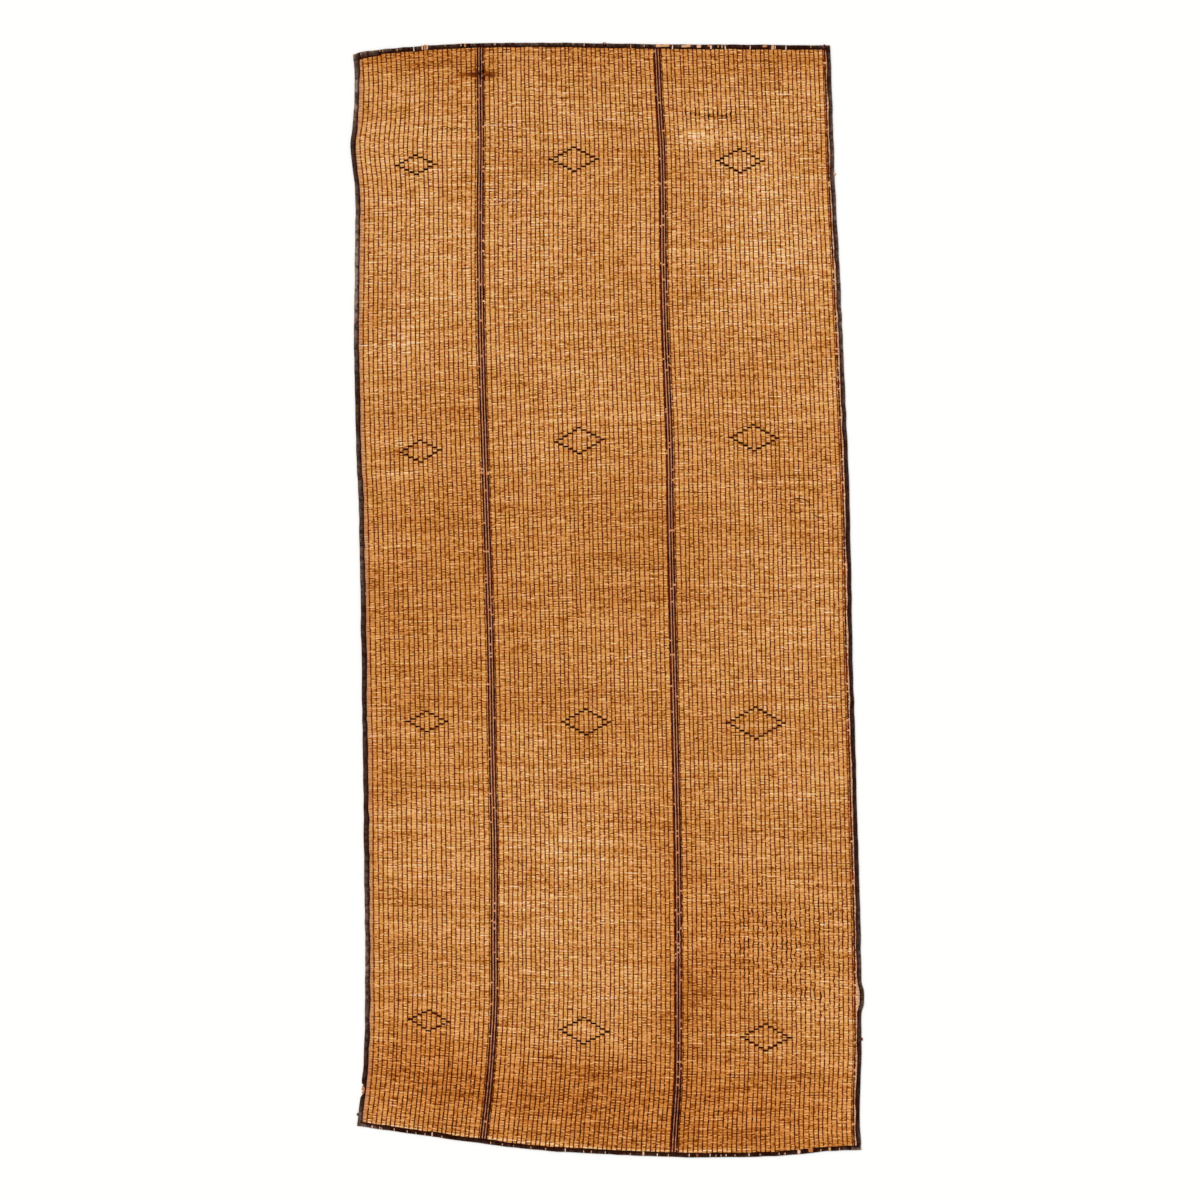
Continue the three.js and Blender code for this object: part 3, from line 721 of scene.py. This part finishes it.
from_middle = add(tree, "Math", from_middle, 4.0, operation="POWER")
drop = add(tree, "Math", from_middle, given["Sag"], operation="MULTIPLY")
drop = add(tree, "Math", drop, -1.0, operation="MULTIPLY")
drop = add(tree, "CombineXYZ", {2: drop})
stitch = add(tree, "SetPosition", {0: stitch, 3: drop})
turn = add(tree, "InputNamedAttribute", "turn")
jitter = add(tree, "RandomValue", {2: -JITTER, 3: JITTER, 8: given["Seed"]}, give=1)
turn = add(tree, "Math", turn, jitter, operation="ADD")
turn = add(tree, "CombineXYZ", {2: turn})
size = add(tree, "InputNamedAttribute", "size")
broad = add(tree, "InputNamedAttribute", "broad")
size = add(tree, "CombineXYZ", size, broad, 1.0)
stitches = add(tree, "InstanceOnPoints", {0: given["Geometry"], 2: stitch, 5: turn, 6: size})
stitches = add(tree, "RealizeInstances", stitches)
stitches = add(tree, "SetShadeSmooth", stitches)
stitches = add(tree, "SetMaterial", {0: stitches, 2: given["Material"]})
add(tree, "NodeGroupOutput", stitches)
print(tree.name, len(tree.nodes), "nodes")


# %% Stitches from a table of points
def sew(name, rows, material, height, thick, sag):
    """Stitches from rows of x, y, turn, length, breadth and tone, at one height above the floor."""
    x, y, turn, length, breadth, tone = (column[:, None] for column in np.array(rows, float).T)
    points = np.stack([x, y, np.full(x.shape, height)], axis=2)
    lines = guide(name + " points", points, turn=turn, size=length, broad=breadth, tone=tone)
    return grow(name, lines, stitch_tree, Height=thick * MM, Sag=sag * MM, Seed=3, Material=material)


# %% The stitches of the diamonds
STITCH_LENGTH, STITCH_BREADTH = 17.0, 6.4
TO_ONE_SIDE = 8.0  # from the middle of a stitch to where its slant is read
DIAMONDS = [  # row, field, cell in the middle, cells to each side, step from stitch to stitch, shift down
    (1, "left", 11, 4, 8.5, 6), (1, "middle", 19, 5, 8.5, -2), (1, "right", 16, 5, 8.4, 4),
    (2, "left", 11, 4, 9.6, 2), (2, "middle", 19, 5, 9.2, 0), (2, "right", 17, 5, 9.2, 4),
    (3, "left", 11, 4, 9.0, 0), (3, "middle", 19, 5, 9.1, 1), (3, "right", 16, 6, 9.3, 2),
    (4, "left", 11, 4, 9.2, -2), (4, "middle", 18, 5, 9.2, 2), (4, "right", 17, 5, 9.4, 3),
]
rng = np.random.default_rng(5)
rows = []
for row, field, middle, reach, step, down in DIAMONDS:
    start, end, cells = FIELDS[field]
    pitch = (end - start) / cells
    for k in range(-reach, reach + 1):
        rise = (reach - abs(k)) * step
        for inset in sorted({rise, -rise}):
            spot = start + pitch * (middle + k + 0.5)
            ends = place([spot - TO_ONE_SIDE, spot, spot + TO_ONE_SIDE], CROSSWISE[row, 0], inset + down)
            ahead = ends[2] - ends[0]
            length = STITCH_LENGTH * rng.uniform(0.92, 1.05)
            breadth = STITCH_BREADTH * rng.uniform(0.85, 1.15)
            rows.append((*ends[1], math.atan2(ahead[1], ahead[0]), length, breadth, 0.0))
diamonds = sew("diamond_stitches", rows, stitch_material, height=4.1, thick=1.1, sag=0.8)

# %% [markdown]
# ## Bindings
# Each edge is held in a strip of leather, folded over it and sewn through. A bevelled curve could not fold
# round the reeds, so a section of the fold is swept along the edge in Python, with its width, its place and
# its height drifting, so that it puckers as old leather does.

# %% A folded strip along an edge
FOLD, LEATHER = 5.2, 1.2  # height of a folded strip, and the thickness of its leather


def folded(laps, retreat, lumps):
    """Sections of a fold, one per station: distances in from the outer edge, and heights."""
    turn = np.radians(np.linspace(90, 270, 9))
    back = np.radians(np.linspace(270, 90, 5))
    middle = FOLD / 2
    hollow = middle - LEATHER
    sections = []
    for lap, worn, lump in zip(laps, retreat, lumps):  # over the top, round the fold and back inside it
        top = [(lap, 4.4), (lap * 0.93, 4.9), (lap * 0.6, 5.15 + lump), (lap * 0.34, FOLD + lump)]
        outside = [
            (middle + middle * math.cos(a), middle + middle * math.sin(a) + lump * max(math.sin(a), 0))
            for a in turn
        ]
        bottom = [(lap * 0.5, 0.0), (lap, 0.0), (lap, LEATHER), (lap * 0.5, LEATHER)]
        inside = [(middle + hollow * math.cos(a), middle + hollow * math.sin(a)) for a in back]
        ring = np.array(top + outside + bottom + inside + [(lap * 0.6, 3.95), (lap, 3.6)])
        ring[:, 0] = worn + ring[:, 0] * (lap - worn) / lap
        sections.append(ring)
    return np.array(sections)


def strip(name, rings, material, **numbers):
    """A closed strip through rings of points, with a map that unrolls it and named numbers on its points."""
    stations, count, _ = rings.shape
    row, column = np.divmod(np.arange((stations - 1) * count), count)
    steps = [(0, 0), (0, 1), (1, 1), (1, 0)]
    quads = np.stack([(row + i) * count + (column + j) % count for i, j in steps], axis=1)
    unrolled = np.stack([((column + j) / count, (row + i) / (stations - 1)) for i, j in steps])
    unrolled = unrolled.transpose(2, 0, 1)
    points = rings.reshape(-1, 3)
    a, b, c = (points[quads[:, k]] for k in (0, 1, 2))
    if np.einsum("ij,ij->", a - points.mean(0), np.cross(b - a, c - a)) < 0:
        quads, unrolled = quads[:, ::-1], unrolled[:, ::-1]
    first, last = list(range(count)), list(range(len(points) - count, len(points)))
    mesh = bpy.data.meshes.new(name)
    mesh.from_pydata((points * MM).tolist(), [], [*quads.tolist(), first, last[::-1]])
    mesh.polygons.foreach_set("use_smooth", [True] * len(mesh.polygons))
    corners = np.zeros((len(mesh.loops), 2), np.float32)
    corners[:quads.size] = unrolled.reshape(-1, 2)
    mesh.uv_layers.new(name="OFBake").data.foreach_set("uv", corners.ravel())
    number_points(mesh, (stations, count), numbers)
    mesh.materials.append(material)
    mesh.update()
    piece = bpy.data.objects.new(name, mesh)
    scene.collection.objects.link(piece)
    print(name, 2 * len(quads), "triangles")
    return piece


# %% Where the bindings catch the light
GLARE = [  # soft ovals as before
    (-890, 1790, 60, 95, 0.75), (-890, 1300, 60, 330, 0.2), (-890, 1140, 60, 210, 0.7),
    (-870, 300, 60, 420, 0.3), (-860, -500, 60, 300, 0.12), (-860, -1250, 60, 330, 0.4),
    (-860, 1950, 70, 30, 0.9), (-880, -1860, 60, 60, 0.45), (800, 1500, 60, 500, 0.26),
    (830, 900, 60, 250, 0.26), (860, 0, 60, 1500, 0.06), (900, -1350, 60, 280, 0.17),
    (900, -1950, 50, 60, 0.3), (0, -1960, 900, 60, 0.07), (-200, 1975, 700, 30, 0.2),
]


def glare(rings, sections, laps, start, fall, hatch):
    """How grey a folded strip is at each of its points: less further in, and more on some folds."""
    outer = np.clip(start - fall * sections[:, :, 0] / laps[:, None], 0, 1)
    folds = 1 + hatch * rng.uniform(-1, 1, len(rings)) ** 3
    return outer * folds[:, None] * ovals(GLARE, rings.reshape(-1, 3)).reshape(outer.shape)


print(len(GLARE), "places that catch the light")

# %% Bindings of the sides
SIDE_STATIONS = 440
SIDE_LAPS = {"left": 17.5, "right": 14.9}
CORNER_LAP, CORNER_REACH = 3.0, 0.02  # the left strip is broader near the head
END_TUCK = 14.0  # how far the ends of a side strip are tucked in
RIGHT_OUT = 2.0  # the right strip reaches this far past the last reeds
rng = np.random.default_rng(23)
shares = np.linspace(0, 1, SIDE_STATIONS)
from_middle = 1 - 2 * shares
insets = END_TUCK * from_middle * (np.abs(from_middle) > 0.995)
bindings = {}
for side, lap in SIDE_LAPS.items():  # each wander has its number of knots and its reach in millimetres
    laps = lap + wander(SIDE_STATIONS, 60, 1.6, rng) + wander(SIDE_STATIONS, 200, 0.9, rng)
    lumps = wander(SIDE_STATIONS, 150, 0.35, rng)
    torn = np.zeros(SIDE_STATIONS)
    if side == "left":
        torn = TORN["binding_in"] * bump(shares, TORN)
        laps += CORNER_LAP * np.exp(-((shares / CORNER_REACH) ** 2))
    sections = folded(laps, torn, lumps)
    depth = sections[:, :, 0] + wander(SIDE_STATIONS, 110, 1.2, rng)[:, None]
    across = depth if side == "left" else WIDTH + RIGHT_OUT - depth
    flat = place(across, shares[:, None], insets[:, None]).reshape(SIDE_STATIONS, -1, 2)
    if side == "right":
        flat[:, :, 0] += (BOW["out"] * bump(shares, BOW))[:, None]
    rings = np.concatenate([flat, sections[:, :, 1:]], axis=2)
    grey = glare(rings, sections, laps, start=1.7, fall=1.9, hatch=0.6)
    bindings[side] = strip(f"{side}_edge_binding", rings, binding_material, glare=grey)

# %% Bindings of the head and the foot
END_STATIONS = 300
END_LAP = 16.5
PATCH_LAP, PATCH_REACH = 8.0, 80.0  # the head's strip is broader near the left corner
BULGES = {  # place across, and how far the edge stands out beyond the last reeds
    "head": [(0, 0), (35, 8), (90, 9), (250, 6), (400, 2), (600, -2), (800, 0), (WIDTH, 1)],
    "foot": [
        (0, 0), (420, 0), (560, 4), (700, 4), (860, 0), (1200, 2), (1480, 7), (1610, 1), (WIDTH, 3),
    ],
}
END_SHARES = {"head": 0.0, "foot": 1.0}
INWARD = {"head": 1, "foot": -1}
across = np.linspace(0, WIDTH, END_STATIONS)
for end, bulge in BULGES.items():
    laps = END_LAP + wander(END_STATIONS, 40, 1.2, rng) + wander(END_STATIONS, 140, 0.9, rng)
    if end == "head":
        laps += PATCH_LAP * np.exp(-((across / PATCH_REACH) ** 4))
    lumps = wander(END_STATIONS, 150, 0.35, rng)
    sections = folded(laps, np.zeros(END_STATIONS), lumps)
    out = read(*np.transpose(bulge), across)
    depth = sections[:, :, 0] + (wander(END_STATIONS, 60, 0.9, rng) - out)[:, None]
    flat = place(across[:, None], END_SHARES[end], INWARD[end] * depth).reshape(END_STATIONS, -1, 2)
    rings = np.concatenate([flat, sections[:, :, 1:]], axis=2)
    grey = glare(rings, sections, laps, start=1.3, fall=1.7, hatch=2.5)
    bindings[end] = strip(f"{end}_edge_binding", rings, binding_material, glare=grey)

# %% [markdown]
# ## Worn edges and strays
# Where the leather of the ends is worn through, the rawhide that sews it and the reeds inside it show as
# short light ticks and brown patches. On the field a few slivers of reed have come up, a few are lost, and
# one loose thread lies near the right edge. Ticks and slivers are stitches from the same tree, put one by
# one where they are, and the thread is swept as a reed is. Tone goes from brown over red, tan and pink to
# cream.

# %% Ticks and patches of the head and the foot
TICKS = {  # place across, breadth, share of the binding's width, tone, reach beyond the edge
    "head": [
        (95, 4, 0.5, 0.45, 0), (156, 3, 0.7, 0.55, 0), (214, 3.4, 1, 0.8, 0), (244, 6, 0.9, 0.68, 2),
        (253, 6, 1, 0.42, 4), (261, 6, 0.9, 0.62, 3), (323, 3, 0.5, 0.6, 0), (379, 3, 0.6, 0.6, 0),
        (393, 5, 0.8, 0.5, 0), (500, 3, 0.6, 0.75, 0), (825, 3, 0.8, 0.75, 2), (895, 3, 0.3, 0.1, 5),
        (901, 3, 0.3, 0.3, 6), (995, 2.6, 0.9, 0.55, 0), (1044, 3, 0.6, 0.55, 0),
        (1112, 52, 0.6, 0.55, 0), (1096, 18, 0.5, 0.66, 1), (1147, 4, 1, 0.82, 0),
        (1197, 36, 0.65, 0.58, 0), (1244, 18, 0.75, 0.68, 0), (1283, 16, 0.5, 0.4, 0),
        (1287, 8, 0.95, 0.72, 0), (1313, 4, 0.7, 0.48, 0), (1327, 4, 0.8, 0.6, 0),
        (1339, 4, 0.95, 0.82, 0), (1430, 3.4, 0.95, 0.8, 0), (1483, 17, 0.55, 0.45, 0),
        (1512, 11, 1, 0.56, 0), (1521, 3, 0.9, 0.8, 0), (1560, 4, 0.95, 0.8, 0), (1651, 3, 0.6, 0.5, 0),
        (1700, 6, 0.5, 0, 3),
    ],
    "foot": [
        (53, 6, 0.6, 0.62, 0), (80, 3, 0.6, 0.7, 0), (87, 3, 0.5, 0.6, 0), (131, 3, 0.7, 0.62, 0),
        (177, 3, 0.7, 0.62, 0), (208, 3, 0.6, 0.6, 0), (240, 3, 0.6, 0.6, 0), (265, 4, 1, 0.8, 0),
        (300, 3, 0.6, 0.6, 0), (472, 3, 0.6, 0.65, 0), (512, 3, 0.6, 0.65, 0), (550, 4, 0.6, 0.5, 0),
        (609, 3, 0.6, 0.65, 0), (659, 4, 0.6, 0.5, 0), (725, 4, 0.8, 0.8, 0), (787, 3, 0.6, 0.65, 0),
        (813, 4, 0.6, 0.5, 0), (860, 3, 0.6, 0.65, 0), (944, 3, 0.6, 0.65, 0), (988, 8, 1, 0.64, 0),
        (1035, 4, 0.8, 0.82, 0), (1072, 3, 0.6, 0.65, 0), (1142, 3.4, 0.8, 0.8, 0),
        (1169, 7, 0.8, 0.22, 0), (1212, 3.4, 0.8, 0.8, 0), (1232, 3, 0.6, 0.65, 0),
        (1249, 3, 0.6, 0.65, 0), (1266, 4, 0.7, 0.8, 0), (1296, 3, 0.6, 0.65, 0), (1343, 4, 0.7, 0.8, 0),
        (1380, 3, 0.6, 0.65, 0), (1444, 3, 0.6, 0.65, 0), (1464, 4, 0.6, 0.72, 0),
        (1511, 11, 0.85, 0.76, 0), (1551, 17, 0.9, 0.36, 0), (1585, 3, 0.6, 0.65, 0),
        (1615, 8, 0.8, 0.54, 0), (1648, 3, 0.6, 0.65, 0),
    ],
}
SIDE_SPECKS = [  # share of the mat, place across, breadth, tone
    (0.116, WIDTH + 1, 7, 0.6), (0.8968, WIDTH + 2, 9, 0.05), (0.9888, -1, 9, 0.05),
]
SPECK_LENGTH = 9.0
TICK_LAP, TICK_INSET = 17.5, 0.8  # the reach of a whole tick, and its start in from the edge
rows = []
for end, ticks in TICKS.items():
    for across, breadth, share, tone, out in ticks:
        start = TICK_INSET - out - np.interp(across, *np.transpose(BULGES[end]))
        length = TICK_LAP * share - TICK_INSET + out
        spot = place(across, END_SHARES[end], INWARD[end] * (start + length / 2))[0]
        rows.append((*spot, math.pi / 2, length, breadth, tone))
for share, across, breadth, tone in SIDE_SPECKS:
    rows.append((*place(across, share)[0], 0.0, SPECK_LENGTH, breadth, tone))
ticks = sew("binding_ticks", rows, bare_material, height=5.1, thick=1.2, sag=0.9)

# %% Slivers on the field
SLIVERS = [  # x, y, length, breadth, tone
    (-861, 20, 12, 10, 1.0), (-593, -761, 9, 9, 0.75), (767, -1155, 17, 5, 0.85),
    (538, -1010, 9, 7, 0.05), (453, -1359, 8, 7, 0.05), (793, -1116, 8, 9, 0.1),
    (-133, -1454, 18, 6, 0.1), (-100, -1452, 7, 4, 0.15), (768, 467, 108, 2.2, 0.2),
    (742, -350, 180, 2.0, 0.25), (-478, 1868, 24, 3.0, 0.1), (-466, 1864, 30, 3.4, 0.05),
    (-424, 1860, 30, 3.4, 0.05), (-412, 1856, 22, 3.0, 0.1),
]
DASHES = [  # rows of light or dark cells: start and end in x, y, tone
    (-620, -480, 1670, 0.05), (-430, -327, 1683, 0.85), (-415, -312, 1418, 0.85),
    (-397, -312, 1411, 0.05), (-682, -639, -1404, 0.95), (-35, 46, -1415, 0.95),
]
DASH_LENGTH, DASH_BREADTH, DASH_PITCH = 9.0, 3.0, 16.4
rows = [(x, y, 0.0, length, breadth, tone) for x, y, length, breadth, tone in SLIVERS]
for start, end, y, tone in DASHES:
    rows += [(x, y, 0.0, DASH_LENGTH, DASH_BREADTH, tone) for x in np.arange(start, end, DASH_PITCH)]
slivers = sew("stray_slivers", rows, bare_material, height=3.8, thick=0.9, sag=0.4)

# %% A loose thread near the right edge
LOOSE_END = np.array([  # x, y and height; it slips under a few reeds on its way
    (651, 354, 4.3), (662, 357, 4.7), (678, 359, 4.6), (698, 356, 4.6), (716, 344, 4.5), (724, 332, 2.6),
    (728, 312, 2.4), (733, 303, 4.4), (745, 293, 4.7), (758, 290, 4.6), (770, 288, 4.4),
], float)
steps = np.linspace(0, len(LOOSE_END) - 1, 60)
stations = np.arange(len(LOOSE_END))
points = np.stack([read(stations, LOOSE_END[:, k], steps) for k in range(3)], axis=1)[None]
lines = guide("loose thread line", points, reed=0.0, cell=0.0, bake_u=steps / steps[-1], thick=1.0)
thread = grow(
    "loose_thread", lines, reed_tree, Width=2.6 * MM, Height=0.8 * MM, Sides=6, Material=stitch_material,
)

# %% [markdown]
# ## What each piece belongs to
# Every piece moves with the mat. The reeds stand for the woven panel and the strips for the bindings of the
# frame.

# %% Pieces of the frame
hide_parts("mat_panel")
for name, piece in bindings.items():
    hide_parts("binding_" + name)
slots = {
    "palm_reed": [reeds, slivers],
    "thong_leather": [*thong_pieces, diamonds, thread],
    "binding_leather": [*bindings.values(), ticks],
}
for slot, pieces in slots.items():
    for piece in pieces:
        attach(piece, "root")
    print(len(pieces), "pieces of", slot)

# %% [markdown]
# ## Floor, light and camera
# The photograph looks straight down on the mat over white. A pale floor, an even white sky and one broad
# light from the upper left give the same calm light with a trace of relief.

# %% Floor, light and camera
FLOOR_SIZE, FLOOR_LEVEL = 120, -0.0003  # metres; the floor lies just below the mat
LENS, SENSOR, SEEN = 85, 36, 4.26  # millimetres, millimetres, and metres across the picture
bpy.ops.mesh.primitive_plane_add(size=FLOOR_SIZE, location=(0, 0, FLOOR_LEVEL))
floor = bpy.context.object
floor.name = "floor"
floor_material, tree, shader = new_material("pale studio floor")
shader.inputs["Base Color"].default_value = tint("#f4f3f1")
shader.inputs["Roughness"].default_value = 0.9
shader.inputs["Specular IOR Level"].default_value = 0.1
floor.data.materials.append(floor_material)

world = bpy.data.worlds.new("white sky")
world.use_nodes = True
world.node_tree.nodes["Background"].inputs["Color"].default_value = (1.0, 1.0, 1.0, 1.0)
world.node_tree.nodes["Background"].inputs["Strength"].default_value = 0.65
scene.world = world
broad_light = bpy.data.objects.new("broad light", bpy.data.lights.new("broad light", "SUN"))
broad_light.data.energy = 1.9
broad_light.data.angle = math.radians(40)
broad_light.rotation_euler = (math.radians(-24), math.radians(-30), 0)
scene.collection.objects.link(broad_light)

camera = bpy.data.objects.new("camera", bpy.data.cameras.new("camera"))
camera.data.lens = LENS
camera.data.sensor_width = SENSOR
camera.data.clip_end = 100
camera.location = (-0.025, -0.002, SEEN * LENS / SENSOR)
scene.collection.objects.link(camera)
scene.camera = camera
scene.view_settings.view_transform = "Standard"
scene.view_settings.look = "None"
print("camera", round(camera.location.z, 2), "m above the floor")
